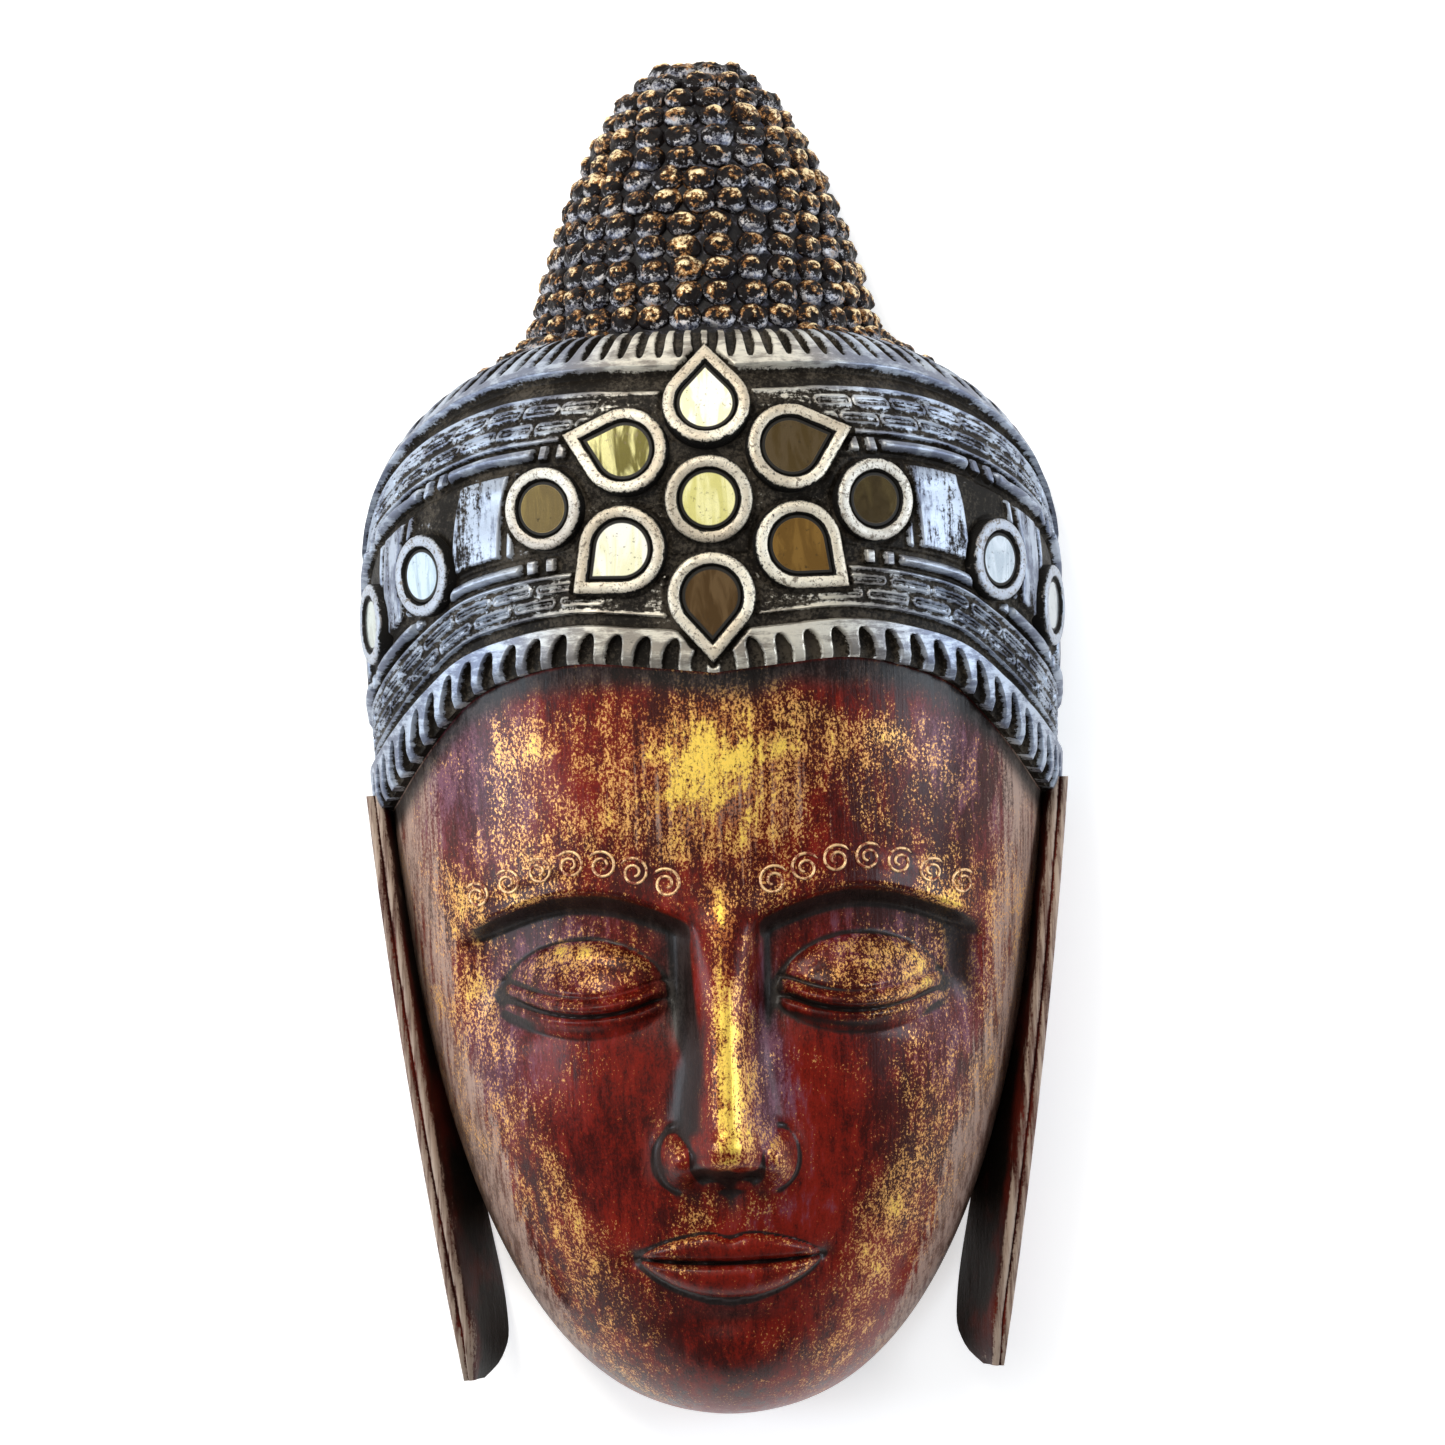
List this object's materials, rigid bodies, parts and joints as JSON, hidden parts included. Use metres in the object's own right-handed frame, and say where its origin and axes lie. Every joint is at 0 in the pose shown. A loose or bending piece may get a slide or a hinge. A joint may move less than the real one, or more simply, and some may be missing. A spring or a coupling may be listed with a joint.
{
  "type": "carved buddha mask",
  "caption": "Carved wooden head mask with a mirror-set silver crown, a tall topknot of curls and long ears, hollowed out behind, to hang on a wall.",
  "frame": {"origin": "centre of the bounding box in the flat back plane that the mask lies on", "axes": "+X to the right as one looks at the face, +Y from the chin to the topknot, +Z out of the face"},
  "size_m": [0.2604, 0.5, 0.1359],
  "materials": {
    "carved_wood": "lacquered deep red with rubbed gold, silver paint on the crown and bronze on the curls",
    "mirror_glass": "thin cut mirror glass"
  },
  "bodies": {
    "root": {"mask": "carved_wood", "mirror_centre": "mirror_glass", "mirror_petal_top": "mirror_glass", "mirror_petal_upper_right": "mirror_glass", "mirror_petal_lower_right": "mirror_glass", "mirror_petal_bottom": "mirror_glass", "mirror_petal_lower_left": "mirror_glass", "mirror_petal_upper_left": "mirror_glass", "mirror_band_left_1": "mirror_glass", "mirror_band_left_2": "mirror_glass", "mirror_band_left_3": "mirror_glass", "mirror_band_right_1": "mirror_glass", "mirror_band_right_2": "mirror_glass", "mirror_band_right_3": "mirror_glass"}
  },
  "joints": []
}
